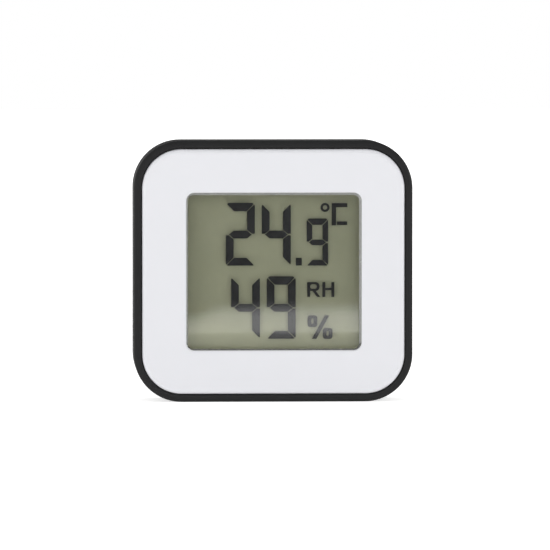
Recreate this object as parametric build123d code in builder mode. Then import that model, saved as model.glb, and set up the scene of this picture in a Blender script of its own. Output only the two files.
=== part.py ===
"""A small square thermometer and humidity meter that stands on a desk or holds to steel.

A white front panel sits in a black moulded housing. Behind its window are a clear lens and a
liquid crystal readout, pressed onto a circuit board. The back has a sliding battery door over a
button cell, a fold-out stand, two disc magnets, a unit button and air slots. The panel snaps into
the housing with eight hooks.

X runs across the face as the reader sees it, Y runs from the face to the back, and Z is up.
The origin is the middle of the base, under the middle of the depth. Sizes are in millimetres.
"""

import os
from math import cos, radians, sin

from build123d import *

os.makedirs("parts", exist_ok=True)

# Housing
body_width = 54.9
body_height = 51.4
body_depth = 16.0
corner_radius = 9.4
side_wall = 1.55
back_wall = 1.6
back_round = 2.0
rim_round = 1.1
rim_bevel = 0.2
round_facets = 4

# Front panel
panel_proud = 0.7
panel_thickness = 1.7
panel_round = 1.0
panel_gap = 0.1
skirt_depth = 3.2
skirt_wall = 1.2
hook_spread = 11.0
hook_length = 6.0
hook_height = 1.2
hook_reach = 0.45
hook_root = 0.3
hook_setback = 0.5
hook_gap = 0.05
stop_spread = 15.5
stop_width = 1.0
stop_reach = 1.2

# Window and lens
window_side_border = 10.55
window_top_border = 10.6
window_low_border = 10.45
window_corner = 1.2
window_bevel = 0.45
window_lip = 0.7
tape_thickness = 0.15
lens_thickness = 1.0
lens_margin = 1.3
lens_gap = 0.1

# Readout glass and its films
gasket_thickness = 0.6
gasket_setback = 0.4
glass_margin = 1.25
glass_thickness = 0.7
contact_ledge = 2.8
film_thickness = 0.2
film_inset = 0.1
seal_thickness = 0.1
seal_width = 0.8

# Frame that holds the glass to the board, and the contact strip
frame_wall = 0.8
frame_gap = 0.1
frame_floor = 1.8
frame_opening_inset = 3.5
strip_inset = 2.0
strip_width = 1.8
strip_gap = 0.2

# Circuit board and its screws
board_thickness = 1.0
board_margin = 2.2
post_radius = 1.7
post_rise = 4.5
board_screw_radius = 0.75
board_screw_length = 4.0
board_screw_head_radius = 1.4
board_screw_head_height = 0.8

# Parts on the board
chip_radius = 4.2
chip_height = 1.2
chip_slope = 0.8
chip_drop = 11.0
crystal_radius = 1.0
crystal_length = 6.0
crystal_lead_width = 0.3
crystal_lead_length = 1.5
crystal_drop = 18.6
shield_width = 11.0
shield_length = 5.6
shield_height = 1.5
shield_bevel = 0.2
shield_drop = 3.3
passive_length = 1.6
passive_width = 0.8
passive_height = 0.5
passive_pitch = 2.6
sensor_width = 5.5
sensor_length = 8.0
sensor_height = 2.6
sensor_wall = 0.6
sensor_slot = 0.7
sensor_bars = 4
bead_radius = 0.9
bead_lead_width = 0.3
bead_lead_spread = 0.6
bead_stand_off = 2.2

# Button cell and its contacts
cell_diameter = 20.0
cell_thickness = 3.2
cell_cap_diameter = 17.6
cell_cap_step = 0.25
cell_bevel = 0.3
cell_from_top = 13.4
cell_gap = 0.3
cell_end_gap = 0.1
contact_thickness = 0.25
contact_width = 4.0
contact_slot_gap = 0.4
contact_foot = 3.0
contact_bend = 0.5
leaf_space = 0.5
leaf_start = 6.5
leaf_end = 3.0
spring_clearance = 0.05

# Battery door and the pocket under it
door_thickness = 1.5
door_margin = 1.2
door_slide_gap = 0.1
door_side_gap = 0.15
tongue_reach = 0.9
tongue_thickness = 0.7
deck_wall = 1.0
rail_wall = 1.0
pocket_wall = 1.0
pocket_floor = 1.0
grip_width = 13.0
grip_height = 5.0
grip_depth = 0.6
grip_rise = 5.0
grip_ridge = 0.5
grip_ridges = 4

# Fold-out stand
stand_width = 18.0
stand_thickness = 1.8
stand_clearance = 0.6
stand_side_gap = 0.2
stand_opening = 35.0
stand_tip = 0.8
stand_heel = 1.0
stand_border = 1.8
stand_hollow = 0.7
stand_corner = 2.0
nail_notch_width = 8.0
nail_notch_height = 1.2
nail_notch_depth = 0.8
stand_stop_gap = 0.05
hinge_below_door = 4.1
barrel_gap = 0.15
pin_radius = 0.9
pin_length = 1.6
pin_gap = 0.05
ear_wall = 1.0
tray_wall = 1.2

# Magnets
magnet_diameter = 9.0
magnet_thickness = 1.5
magnet_gap = 0.05
magnet_cup_wall = 1.0
magnet_rise = 4.5

# Unit button and the switch under it
button_radius = 2.0
button_gap = 0.2
button_dish_radius = 3.6
button_dish_depth = 0.5
button_proud = 0.35
button_flange_radius = 2.8
button_flange = 0.8
button_rest_gap = 0.05
button_bevel = 0.3
button_travel = 0.3
switch_width = 6.0
switch_height = 3.5
stem_radius = 1.7
stem_gap = 0.06
stem_show = 0.9
stem_depth = 0.6

# Air slots
service_from_base = 16.5
vent_width = 1.2
vent_height = 9.0
vent_pitch = 2.3
vent_count = 5
side_vent_length = 6.0
side_vent_count = 5
side_vent_margin = 0.4

# Shared allowances
screw_bore_gap = 0.25
screw_pilot_gap = 0.03
cut_past = 1.0
seat_gap = 0.02

# Depths, from the face to the back
middle = body_height / 2
front_y = -body_depth / 2
back_y = body_depth / 2
rim_y = front_y + panel_proud
cavity_y = back_y - back_wall
panel_inner_y = front_y + panel_thickness
skirt_y = panel_inner_y + skirt_depth
lip_y = front_y + window_lip
lens_front_y = lip_y + tape_thickness
lens_back_y = lens_front_y + lens_thickness
film_front_y = lens_back_y + gasket_thickness
glass_front_y = film_front_y + film_thickness
seal_front_y = glass_front_y + glass_thickness
rear_glass_y = seal_front_y + seal_thickness
reflector_y = rear_glass_y + glass_thickness
frame_floor_y = reflector_y + film_thickness
board_front_y = frame_floor_y + frame_floor
board_back_y = board_front_y + board_thickness
door_inner_y = back_y - door_thickness
deck_y = door_inner_y - door_slide_gap
cell_back_y = door_inner_y - cell_end_gap
cell_front_y = cell_back_y - cell_thickness
pocket_y = cell_front_y - leaf_space
pocket_front_y = pocket_y - pocket_floor
stand_recess = stand_thickness + stand_clearance
recess_y = back_y - stand_recess
barrel_radius = (stand_recess - barrel_gap) / 2
hinge_y = recess_y + barrel_gap + barrel_radius
hook_back_y = skirt_y - hook_setback
hook_front_y = hook_back_y - hook_height
side_vent_y = back_y - back_round - side_vent_margin - side_vent_length / 2
switch_top_y = board_back_y + switch_height
stem_top_y = switch_top_y + stem_show

# Places across and up, measured from the middle of the face
half_width = body_width / 2
panel_inset = side_wall + panel_gap
skirt_inset = panel_inset + skirt_wall
board_inset = side_wall + board_margin
window_width = body_width - 2 * window_side_border
window_height = body_height - window_top_border - window_low_border
window_drop = (window_top_border - window_low_border) / 2
lens_width = window_width + 2 * lens_margin
lens_height = window_height + 2 * lens_margin
lens_corner = window_corner + lens_margin
glass_width = window_width + 2 * glass_margin
glass_height = window_height + 2 * glass_margin
film_width = glass_width - 2 * film_inset
film_height = glass_height - 2 * film_inset
frame_width = glass_width + 2 * (frame_gap + frame_wall)
frame_height = glass_height + contact_ledge + 2 * (frame_gap + frame_wall)
frame_centre = -window_drop - contact_ledge / 2
strip_length = glass_width - 2 * strip_inset
strip_centre = -window_drop - glass_height / 2 - contact_ledge / 2
post_x = (frame_width / 2 + half_width - skirt_inset) / 2
cell_radius = cell_diameter / 2
cell_z = middle - cell_from_top
pocket_radius = cell_radius + cell_gap
door_half = pocket_radius + door_margin
door_low = cell_z - pocket_radius - door_margin
slot_half = door_half + tongue_reach + door_side_gap
hinge_z = door_low - hinge_below_door
stand_half = stand_width / 2
recess_half = stand_half + stand_side_gap
stop_height = (
    (back_y - hinge_y) * sin(radians(stand_opening))
    + stand_heel * cos(radians(stand_opening))
    + stand_stop_gap
)
magnet_radius = magnet_diameter / 2
magnet_x = (slot_half + half_width - side_wall) / 2
service_x = (recess_half + tray_wall + half_width - side_wall) / 2
service_z = service_from_base - middle


def face_plane(y, x=0.0, z=0.0):
    """A sketch plane at depth y that faces the reader, centred x and z from the middle."""
    return Plane(origin=(x, y, middle + z), x_dir=(1, 0, 0), z_dir=(0, -1, 0))


def side_plane(x, y=0.0, z=0.0):
    """A sketch plane at x that faces right, with Y across it and Z up it."""
    return Plane(origin=(x, y, middle + z), x_dir=(0, 1, 0), z_dir=(1, 0, 0))


def outline(inset):
    """The rounded square of the body, drawn in by an inset."""
    return RectangleRounded(
        body_width - 2 * inset, body_height - 2 * inset, corner_radius - inset
    )


def post_places():
    """The two places where the board is screwed to the panel."""
    return GridLocations(2 * post_x, 1, 2, 1)


def rounding(y, toward, inset, radius):
    """Adds a rounded edge from depth y to the front or the back, in a few narrow facets."""
    sections = []
    for step in range(round_facets + 1):
        angle = radians(90 * step / round_facets)
        with BuildSketch(face_plane(y + toward * radius * sin(angle))) as section:
            outline(inset + radius * (1 - cos(angle)))
        sections.append(section.sketch)
    loft(sections, ruled=True)


def body_form():
    """Adds the outer form of the housing to the part that is being built."""
    with BuildSketch(face_plane(back_y - back_round)) as shape:
        outline(0)
    extrude(shape.sketch, amount=back_y - back_round - rim_y - rim_round)
    rounding(back_y - back_round, 1, 0, back_round)
    rounding(rim_y + rim_round, -1, 0, rim_round)


def hook_sections(edge, upright):
    """Two hooks on opposite edges: each has its ramp to the back and its catch to the front."""
    for side in (-1, 1):
        corners = [
            (side * (edge - hook_root), hook_front_y),
            (side * (edge + hook_reach), hook_front_y),
            (side * edge, hook_back_y),
            (side * (edge - hook_root), hook_back_y),
        ]
        if upright:
            corners = [(depth, across) for across, depth in corners]
        Polygon(*corners, align=None)


def hook_pockets(edge, upright):
    """The two pockets that hooks on opposite edges snap into."""
    reach = hook_reach + panel_gap + hook_root + hook_gap
    height = hook_height + 2 * hook_gap
    for side in (-1, 1):
        across = side * (edge + hook_reach + hook_gap - reach / 2)
        depth = (hook_front_y + hook_back_y) / 2
        if upright:
            with Locations((depth, across)):
                Rectangle(height, reach)
        else:
            with Locations((across, depth)):
                Rectangle(reach, height)


def door_section(gap, depth_gap):
    """The battery door's T section, seen from above, grown by its clearances."""
    low = door_inner_y - depth_gap
    with Locations((0, low)):
        Rectangle(
            2 * (door_half + gap),
            door_thickness + depth_gap + cut_past,
            align=(Align.CENTER, Align.MIN),
        )
        Rectangle(
            2 * (door_half + tongue_reach + gap),
            tongue_thickness + 2 * depth_gap,
            align=(Align.CENTER, Align.MIN),
        )


def stand_section():
    """The stand leg's side view: a plate with a heel, and the barrel at its hinge."""
    with Locations((back_y, hinge_z + stand_heel)):
        Rectangle(
            stand_thickness,
            hinge_z + stand_heel + middle - stand_tip,
            align=(Align.MAX, Align.MAX),
        )
    with Locations((hinge_y, hinge_z)):
        Circle(barrel_radius)


# Rear housing: the black tub with its rim, battery pocket, stand tray and magnet cups
with BuildPart() as rear_housing:
    body_form()
    with BuildSketch(face_plane(cavity_y)):
        outline(side_wall)
    extrude(amount=cavity_y - rim_y, mode=Mode.SUBTRACT)
    mouth = rear_housing.faces().sort_by(Axis.Y)[0].inner_wires()[0]
    chamfer(mouth.edges(), rim_bevel)

    # Solid forms on the inside of the back
    rooted_y = (cavity_y + back_y) / 2
    with BuildSketch(face_plane(rooted_y)):
        with Locations((0, middle - side_wall / 2)):
            Rectangle(
                2 * (slot_half + rail_wall),
                middle - side_wall / 2 - door_low + tongue_reach + door_side_gap + rail_wall,
                align=(Align.CENTER, Align.MAX),
            )
    extrude(amount=rooted_y - deck_y + deck_wall)
    with BuildSketch(face_plane(rooted_y)):
        with Locations((0, cell_z)):
            Circle(pocket_radius + pocket_wall)
    extrude(amount=rooted_y - pocket_front_y)
    with BuildSketch(face_plane(rooted_y)):
        with Locations((0, hinge_z + stop_height + tray_wall)):
            Rectangle(
                2 * (recess_half + tray_wall),
                hinge_z + stop_height + tray_wall + middle - side_wall / 2,
                align=(Align.CENTER, Align.MAX),
            )
    extrude(amount=rooted_y - recess_y + tray_wall)
    with BuildSketch(face_plane(rooted_y)):
        with Locations((0, hinge_z)):
            Rectangle(
                2 * (recess_half + pin_length + 2 * pin_gap + ear_wall),
                2 * (pin_radius + pin_gap + ear_wall),
            )
    extrude(amount=rooted_y - hinge_y + pin_radius + pin_gap + ear_wall)
    with BuildSketch(face_plane(rooted_y)):
        with Locations((-magnet_x, magnet_rise), (magnet_x, magnet_rise)):
            Circle(magnet_radius + magnet_gap + magnet_cup_wall)
    extrude(amount=rooted_y - back_y + magnet_thickness + magnet_cup_wall)
    with BuildSketch(face_plane(rooted_y)):
        with GridLocations(2 * stop_spread, 2 * (middle - side_wall - stop_reach / 2), 2, 2):
            Rectangle(stop_width, stop_reach + side_wall / 2)
    extrude(amount=rooted_y - skirt_y)

    # Pockets for the panel's hooks
    for place in (-hook_spread, hook_spread):
        with BuildSketch(Plane.XY.offset(middle + place)):
            hook_pockets(half_width - panel_inset, False)
        extrude(amount=hook_length / 2 + hook_gap, both=True, mode=Mode.SUBTRACT)
        with BuildSketch(side_plane(place)):
            hook_pockets(middle - panel_inset, True)
        extrude(amount=hook_length / 2 + hook_gap, both=True, mode=Mode.SUBTRACT)

    # Battery door slot and cell pocket
    slot_low = Plane.XY.offset(middle + door_low - door_side_gap)
    with BuildSketch(slot_low):
        door_section(door_side_gap, door_slide_gap)
    extrude(amount=middle - door_low + door_side_gap + cut_past, mode=Mode.SUBTRACT)
    with BuildSketch(slot_low):
        with Locations((0, deck_y)):
            Rectangle(
                2 * (door_half + tongue_reach + door_side_gap),
                tongue_thickness + 2 * door_slide_gap,
                align=(Align.CENTER, Align.MIN),
            )
    extrude(amount=-tongue_reach, mode=Mode.SUBTRACT)
    with BuildSketch(face_plane(deck_y + door_slide_gap / 2)):
        with Locations((0, cell_z)):
            Circle(pocket_radius)
    extrude(amount=deck_y + door_slide_gap / 2 - pocket_y, mode=Mode.SUBTRACT)

    # Slots where the two cell contacts pass through the pocket
    slot_width = contact_width + 2 * contact_slot_gap
    with BuildSketch(face_plane(pocket_y + cut_past)):
        with Locations((-leaf_start, cell_z)):
            Rectangle(contact_thickness + 2 * contact_slot_gap, slot_width)
    extrude(amount=pocket_floor + 2 * cut_past, mode=Mode.SUBTRACT)
    with BuildSketch(face_plane(deck_y)):
        with Locations((cell_radius - contact_slot_gap, cell_z)):
            Rectangle(
                cell_gap + pocket_wall + 3 * contact_slot_gap,
                slot_width,
                align=(Align.MIN, Align.CENTER),
            )
    extrude(amount=deck_y - pocket_front_y + cut_past, mode=Mode.SUBTRACT)

    # Stand recess, open at the base, with a nail notch, and the two blind pin sockets
    with BuildSketch(face_plane(back_y + cut_past)):
        with Locations((0, hinge_z + stop_height)):
            Rectangle(
                2 * recess_half,
                hinge_z + stop_height + middle + cut_past,
                align=(Align.CENTER, Align.MAX),
            )
    extrude(amount=stand_recess + cut_past, mode=Mode.SUBTRACT)
    with BuildSketch(Plane.XY.offset(nail_notch_height)):
        with Locations((0, recess_y)):
            SlotOverall(nail_notch_width, 2 * nail_notch_depth)
    extrude(amount=-nail_notch_height - cut_past, mode=Mode.SUBTRACT)
    with BuildSketch(side_plane(-recess_half - pin_length - pin_gap, hinge_y, hinge_z)):
        Circle(pin_radius + pin_gap)
    extrude(amount=2 * (recess_half + pin_length + pin_gap), mode=Mode.SUBTRACT)

    # Magnet pockets and the button's hole
    with BuildSketch(face_plane(back_y + cut_past)):
        with Locations((-magnet_x, magnet_rise), (magnet_x, magnet_rise)):
            Circle(magnet_radius + magnet_gap)
    extrude(amount=magnet_thickness + cut_past, mode=Mode.SUBTRACT)
    with BuildSketch(face_plane(back_y, -service_x, service_z)):
        Circle(button_dish_radius)
    extrude(amount=button_dish_depth, mode=Mode.SUBTRACT)
    with BuildSketch(face_plane(back_y, -service_x, service_z)):
        Circle(button_radius + button_gap)
    extrude(amount=back_wall + cut_past, mode=Mode.SUBTRACT)

    # Air slots in the back over the sensor, and in both sides
    with BuildSketch(face_plane(back_y + cut_past, service_x, service_z)):
        with GridLocations(vent_pitch, 1, vent_count, 1):
            SlotOverall(vent_height, vent_width, rotation=90)
    extrude(amount=back_wall + 2 * cut_past, mode=Mode.SUBTRACT)
    with BuildSketch(side_plane(-half_width - cut_past, side_vent_y, service_z)):
        with GridLocations(1, vent_pitch, 1, side_vent_count):
            Rectangle(side_vent_length, vent_width)
    extrude(amount=side_wall + 2 * cut_past, mode=Mode.SUBTRACT)
    with BuildSketch(side_plane(half_width + cut_past, side_vent_y, service_z)):
        with GridLocations(1, vent_pitch, 1, side_vent_count):
            Rectangle(side_vent_length, vent_width)
    extrude(amount=-side_wall - 2 * cut_past, mode=Mode.SUBTRACT)

# Front panel: the white face, a shallow tray with the window, eight hooks and two board posts
with BuildPart() as front_panel:
    with BuildSketch(face_plane(skirt_y)):
        outline(panel_inset)
    extrude(amount=skirt_y - front_y - panel_round)
    rounding(front_y + panel_round, -1, panel_inset, panel_round)
    with BuildSketch(face_plane(skirt_y)):
        outline(skirt_inset)
    extrude(amount=skirt_y - panel_inner_y, mode=Mode.SUBTRACT)
    for place in (-hook_spread, hook_spread):
        with BuildSketch(Plane.XY.offset(middle + place)):
            hook_sections(half_width - panel_inset, False)
        extrude(amount=hook_length / 2, both=True)
        with BuildSketch(side_plane(place)):
            hook_sections(middle - panel_inset, True)
        extrude(amount=hook_length / 2, both=True)
    with BuildSketch(face_plane(board_front_y, 0, post_rise)):
        with post_places():
            Circle(post_radius)
    extrude(amount=board_front_y - panel_inner_y)
    with BuildSketch(face_plane(board_front_y, 0, post_rise)):
        with post_places():
            Circle(board_screw_radius + screw_pilot_gap)
    extrude(amount=board_screw_length - board_thickness + cut_past / 2, mode=Mode.SUBTRACT)
    with BuildSketch(face_plane(panel_inner_y, 0, -window_drop)):
        RectangleRounded(
            lens_width + 2 * lens_gap, lens_height + 2 * lens_gap, lens_corner + lens_gap
        )
    extrude(amount=panel_inner_y - lip_y, mode=Mode.SUBTRACT)
    with BuildSketch(face_plane(lip_y, 0, -window_drop)):
        RectangleRounded(window_width, window_height, window_corner)
    extrude(amount=lip_y - front_y, mode=Mode.SUBTRACT)
    window_edge = front_panel.faces().sort_by(Axis.Y)[0].inner_wires()[0]
    chamfer(window_edge.edges(), window_bevel)

# Ring of tape that holds the lens behind the lip
with BuildPart() as lens_tape:
    with BuildSketch(face_plane(lens_front_y, 0, -window_drop)):
        RectangleRounded(lens_width, lens_height, lens_corner)
        RectangleRounded(window_width, window_height, window_corner, mode=Mode.SUBTRACT)
    extrude(amount=tape_thickness)

# Clear lens
with BuildPart() as window_lens:
    with BuildSketch(face_plane(lens_back_y, 0, -window_drop)):
        RectangleRounded(lens_width, lens_height, lens_corner)
    extrude(amount=lens_thickness)

# Foam ring between the lens and the readout
with BuildPart() as lens_gasket:
    with BuildSketch(face_plane(film_front_y, 0, -window_drop)):
        Rectangle(film_width, film_height)
        RectangleRounded(
            window_width + 2 * gasket_setback,
            window_height + 2 * gasket_setback,
            window_corner,
            mode=Mode.SUBTRACT,
        )
    extrude(amount=gasket_thickness)

# Polarising film on the front glass
with BuildPart() as front_polarizer:
    with BuildSketch(face_plane(glass_front_y, 0, -window_drop)):
        Rectangle(film_width, film_height)
    extrude(amount=film_thickness)

# Front glass, with the ledge that carries the readout's contacts
with BuildPart() as front_glass:
    with BuildSketch(face_plane(seal_front_y, 0, frame_centre)):
        Rectangle(glass_width, glass_height + contact_ledge)
    extrude(amount=glass_thickness)

# Seal round the liquid crystal
with BuildPart() as crystal_seal:
    with BuildSketch(face_plane(rear_glass_y, 0, -window_drop)):
        Rectangle(film_width, film_height)
        Rectangle(
            film_width - 2 * seal_width, film_height - 2 * seal_width, mode=Mode.SUBTRACT
        )
    extrude(amount=seal_thickness)

# Rear glass
with BuildPart() as rear_glass:
    with BuildSketch(face_plane(reflector_y, 0, -window_drop)):
        Rectangle(glass_width, glass_height)
    extrude(amount=glass_thickness)

# Reflecting film behind the readout
with BuildPart() as reflector_film:
    with BuildSketch(face_plane(frame_floor_y, 0, -window_drop)):
        Rectangle(film_width, film_height)
    extrude(amount=film_thickness)

# Frame that carries the glass and the contact strip on the board
with BuildPart() as readout_frame:
    with BuildSketch(face_plane(board_front_y, 0, frame_centre)):
        Rectangle(frame_width, frame_height)
    extrude(amount=board_front_y - panel_inner_y)
    with BuildSketch(face_plane(frame_floor_y, 0, frame_centre)):
        Rectangle(frame_width - 2 * frame_wall, frame_height - 2 * frame_wall)
    extrude(amount=frame_floor_y - panel_inner_y, mode=Mode.SUBTRACT)
    with BuildSketch(face_plane(board_front_y, 0, -window_drop)):
        Rectangle(
            glass_width - 2 * frame_opening_inset, glass_height - 2 * frame_opening_inset
        )
    extrude(amount=frame_floor, mode=Mode.SUBTRACT)
    with BuildSketch(face_plane(board_front_y, 0, strip_centre)):
        Rectangle(strip_length + 2 * strip_gap, strip_width + 2 * strip_gap)
    extrude(amount=frame_floor, mode=Mode.SUBTRACT)

# Rubber contact strip between the ledge and the board
with BuildPart() as contact_strip:
    with BuildSketch(face_plane(board_front_y, 0, strip_centre)):
        Rectangle(strip_length, strip_width)
    extrude(amount=board_front_y - seal_front_y)

# Circuit board
with BuildPart() as circuit_board:
    with BuildSketch(face_plane(board_back_y)):
        outline(board_inset)
    extrude(amount=board_thickness)
    with BuildSketch(face_plane(board_back_y, 0, post_rise)):
        with post_places():
            Circle(board_screw_radius + screw_bore_gap)
    extrude(amount=board_thickness, mode=Mode.SUBTRACT)

# Screws that hold the board to the panel
with BuildPart() as board_screws:
    with BuildSketch(face_plane(board_back_y, 0, post_rise)):
        with post_places():
            Circle(board_screw_radius)
    extrude(amount=board_screw_length)
    with BuildSketch(face_plane(board_back_y + board_screw_head_height, 0, post_rise)):
        with post_places():
            Circle(board_screw_head_radius)
    extrude(amount=board_screw_head_height)

# Resin blob over the chip
with BuildPart() as chip_blob:
    with BuildSketch(face_plane(board_back_y + chip_height, 0, -chip_drop)):
        Circle(chip_radius)
    extrude(amount=chip_height)
    blob_top = chip_blob.faces().sort_by(Axis.Y)[-1].edges()
    chamfer(blob_top, chip_slope, chip_slope * 2)

# Quartz crystal in its can, lying on the board with its two leads
with BuildPart() as quartz_crystal:
    crystal_y = board_back_y + crystal_radius
    with BuildSketch(side_plane(0, crystal_y, -crystal_drop)):
        Circle(crystal_radius)
    can = extrude(amount=crystal_length)
    chamfer(can.faces().sort_by(Axis.X)[-1].edges(), crystal_radius / 4)
    with BuildSketch(side_plane(0, crystal_y, -crystal_drop)):
        with GridLocations(1, crystal_radius, 1, 2):
            Rectangle(crystal_lead_width, crystal_lead_width)
    extrude(amount=-crystal_lead_length)
    with BuildSketch(face_plane(crystal_y, -crystal_lead_length, -crystal_drop)):
        with GridLocations(1, crystal_radius, 1, 2):
            Rectangle(crystal_lead_width, crystal_lead_width)
    extrude(amount=crystal_radius)

# Small capacitors and resistors, in two rows on the board
passive_x = chip_radius + passive_length
with BuildPart() as capacitors:
    with BuildSketch(face_plane(board_back_y + passive_height, -passive_x, -chip_drop)):
        with GridLocations(1, passive_pitch, 1, 3):
            Rectangle(passive_length, passive_width)
    extrude(amount=passive_height)
with BuildPart() as resistors:
    with BuildSketch(face_plane(board_back_y + passive_height, passive_x, -chip_drop)):
        with GridLocations(1, passive_pitch, 1, 3):
            Rectangle(passive_length, passive_width)
    extrude(amount=passive_height)

# Tinned can over the radio
with BuildPart() as radio_shield:
    with BuildSketch(face_plane(board_back_y + shield_height, 0, -shield_drop)):
        Rectangle(shield_width, shield_length)
    extrude(amount=shield_height)
    chamfer(radio_shield.faces().sort_by(Axis.Y)[-1].edges(), shield_bevel)

# Humidity sensor in its slotted cage
sensor_z = service_z
with BuildPart() as humidity_sensor:
    with BuildSketch(face_plane(board_back_y + sensor_height, service_x, sensor_z)):
        Rectangle(sensor_width, sensor_length)
    extrude(amount=sensor_height)
    bar_pitch = (sensor_length - 2 * sensor_wall) / (sensor_bars + 1)
    with BuildSketch(face_plane(board_back_y + sensor_height, service_x, sensor_z)):
        with GridLocations(1, bar_pitch, 1, sensor_bars):
            Rectangle(sensor_width - 2 * sensor_wall, sensor_slot)
    extrude(amount=sensor_height - sensor_wall, mode=Mode.SUBTRACT)

# Temperature bead on its two leads, beside the sensor
bead_z = sensor_z - sensor_length / 2 - bead_radius - sensor_wall
with BuildPart() as temperature_bead:
    bead_y = board_back_y + bead_stand_off
    with BuildSketch(face_plane(bead_y, service_x, bead_z)):
        with GridLocations(2 * bead_lead_spread, 1, 2, 1):
            Rectangle(bead_lead_width, bead_lead_width)
    extrude(amount=bead_stand_off)
    with BuildSketch(face_plane(bead_y + bead_radius, service_x, bead_z)):
        Circle(bead_radius)
    bead = extrude(amount=2 * bead_radius)
    chamfer(bead.faces().sort_by(Axis.Y)[-1].edges(), bead_radius / 2)

# Tactile switch body under the unit button, and the stem that moves in it
with BuildPart() as tact_switch:
    with BuildSketch(face_plane(switch_top_y, -service_x, service_z)):
        Rectangle(switch_width, switch_width)
    extrude(amount=switch_height)
    with BuildSketch(face_plane(switch_top_y, -service_x, service_z)):
        Circle(stem_radius + stem_gap)
    extrude(amount=stem_depth + button_travel + seat_gap, mode=Mode.SUBTRACT)
with BuildPart() as switch_stem:
    with BuildSketch(face_plane(stem_top_y, -service_x, service_z)):
        Circle(stem_radius)
    extrude(amount=stem_show + stem_depth)

# Unit button: a cap in the back's dish, a flange that keeps it in, and a rod to the stem
with BuildPart() as unit_button:
    button_top_y = back_y - button_dish_depth + button_proud
    flange_y = cavity_y - button_rest_gap
    with BuildSketch(face_plane(button_top_y, -service_x, service_z)):
        Circle(button_radius)
    extrude(amount=button_top_y - stem_top_y)
    chamfer(unit_button.faces().sort_by(Axis.Y)[-1].edges(), button_bevel)
    with BuildSketch(face_plane(flange_y, -service_x, service_z)):
        Circle(button_flange_radius)
    extrude(amount=button_flange)

# Magnets
with BuildPart() as magnet_left:
    with BuildSketch(face_plane(back_y, -magnet_x, magnet_rise)):
        Circle(magnet_radius)
    extrude(amount=magnet_thickness)
with BuildPart() as magnet_right:
    with BuildSketch(face_plane(back_y, magnet_x, magnet_rise)):
        Circle(magnet_radius)
    extrude(amount=magnet_thickness)

# Button cell: the can, and the smaller cap that faces the leaf contact
with BuildPart() as button_cell:
    with BuildSketch(face_plane(cell_back_y, 0, cell_z)):
        Circle(cell_radius)
    extrude(amount=cell_thickness - cell_cap_step)
    chamfer(button_cell.faces().sort_by(Axis.Y)[-1].edges(), cell_bevel)
    with BuildSketch(face_plane(cell_front_y + cell_cap_step, 0, cell_z)):
        Circle(cell_cap_diameter / 2)
    extrude(amount=cell_cap_step)

# Leaf contact under the cell
with BuildPart() as leaf_contact:
    foot_y = board_back_y + contact_thickness / 2
    leaf_y = cell_front_y - spring_clearance - contact_thickness / 2
    leaf_plane = Plane(origin=(0, 0, middle + cell_z), x_dir=(1, 0, 0), z_dir=(0, 0, 1))
    with BuildSketch(leaf_plane):
        with BuildLine():
            FilletPolyline(
                (-leaf_start - contact_foot, foot_y),
                (-leaf_start, foot_y),
                (-leaf_start, pocket_y + contact_thickness),
                (leaf_end, leaf_y),
                radius=contact_bend / 2,
            )
        trace(line_width=contact_thickness)
    extrude(amount=contact_width / 2, both=True)

# Spring contact at the cell's edge
with BuildPart() as edge_contact:
    riser_x = cell_radius + cell_gap + contact_bend
    bow_x = cell_radius + spring_clearance + contact_thickness / 2
    with BuildSketch(leaf_plane):
        with BuildLine():
            FilletPolyline(
                (riser_x + contact_foot, foot_y),
                (riser_x, foot_y),
                (riser_x, pocket_front_y),
                (bow_x, (cell_front_y + cell_back_y) / 2),
                (riser_x, deck_y - contact_bend),
                radius=contact_bend / 2,
            )
        trace(line_width=contact_thickness)
    extrude(amount=contact_width / 2, both=True)

# Battery door: a T-section plate cut from the body's own form, with a tongue and a thumb grip
with BuildPart() as battery_door:
    body_form()
    with BuildSketch(Plane.XY.offset(middle + door_low)):
        door_section(0, 0)
    extrude(amount=middle - door_low + cut_past, mode=Mode.INTERSECT)
    with BuildSketch(Plane.XY.offset(middle + door_low)):
        with Locations((0, door_inner_y)):
            Rectangle(
                2 * (door_half + tongue_reach),
                tongue_thickness,
                align=(Align.CENTER, Align.MIN),
            )
    extrude(amount=door_side_gap - tongue_reach)
    with BuildSketch(face_plane(back_y, 0, door_low + grip_rise)):
        SlotOverall(grip_width, grip_height)
    extrude(amount=grip_depth, mode=Mode.SUBTRACT)
    with BuildSketch(face_plane(back_y - grip_depth, 0, door_low + grip_rise)):
        with GridLocations(1, grip_height / grip_ridges, 1, grip_ridges):
            Rectangle(grip_width - grip_height, grip_ridge)
    extrude(amount=-grip_depth)

# Stand leg: a plate with a hollowed inner face, a heel that stops it, and its hinge pins
with BuildPart() as stand_leg:
    body_form()
    with BuildSketch(side_plane(-stand_half)):
        stand_section()
    extrude(amount=stand_width, mode=Mode.INTERSECT)
    with BuildSketch(face_plane(back_y)):
        with Locations((0, stand_tip - middle)):
            RectangleRounded(
                stand_width,
                hinge_z + middle + 2 * barrel_radius + 2 * stand_corner,
                stand_corner,
                align=(Align.CENTER, Align.MIN),
            )
    extrude(amount=body_depth, mode=Mode.INTERSECT)
    leg_front_y = back_y - stand_thickness
    hollow_top = hinge_z - barrel_radius - stand_border
    hollow_low = stand_tip - middle + 2 * stand_border
    with BuildSketch(face_plane(leg_front_y + stand_hollow)):
        with Locations((0, hollow_top)):
            Rectangle(
                stand_width - 2 * stand_border,
                hollow_top - hollow_low,
                align=(Align.CENTER, Align.MAX),
            )
    extrude(amount=stand_hollow, mode=Mode.SUBTRACT)
    with BuildSketch(side_plane(-stand_half - pin_length, hinge_y, hinge_z)):
        Circle(pin_radius)
    extrude(amount=2 * (stand_half + pin_length))

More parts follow.
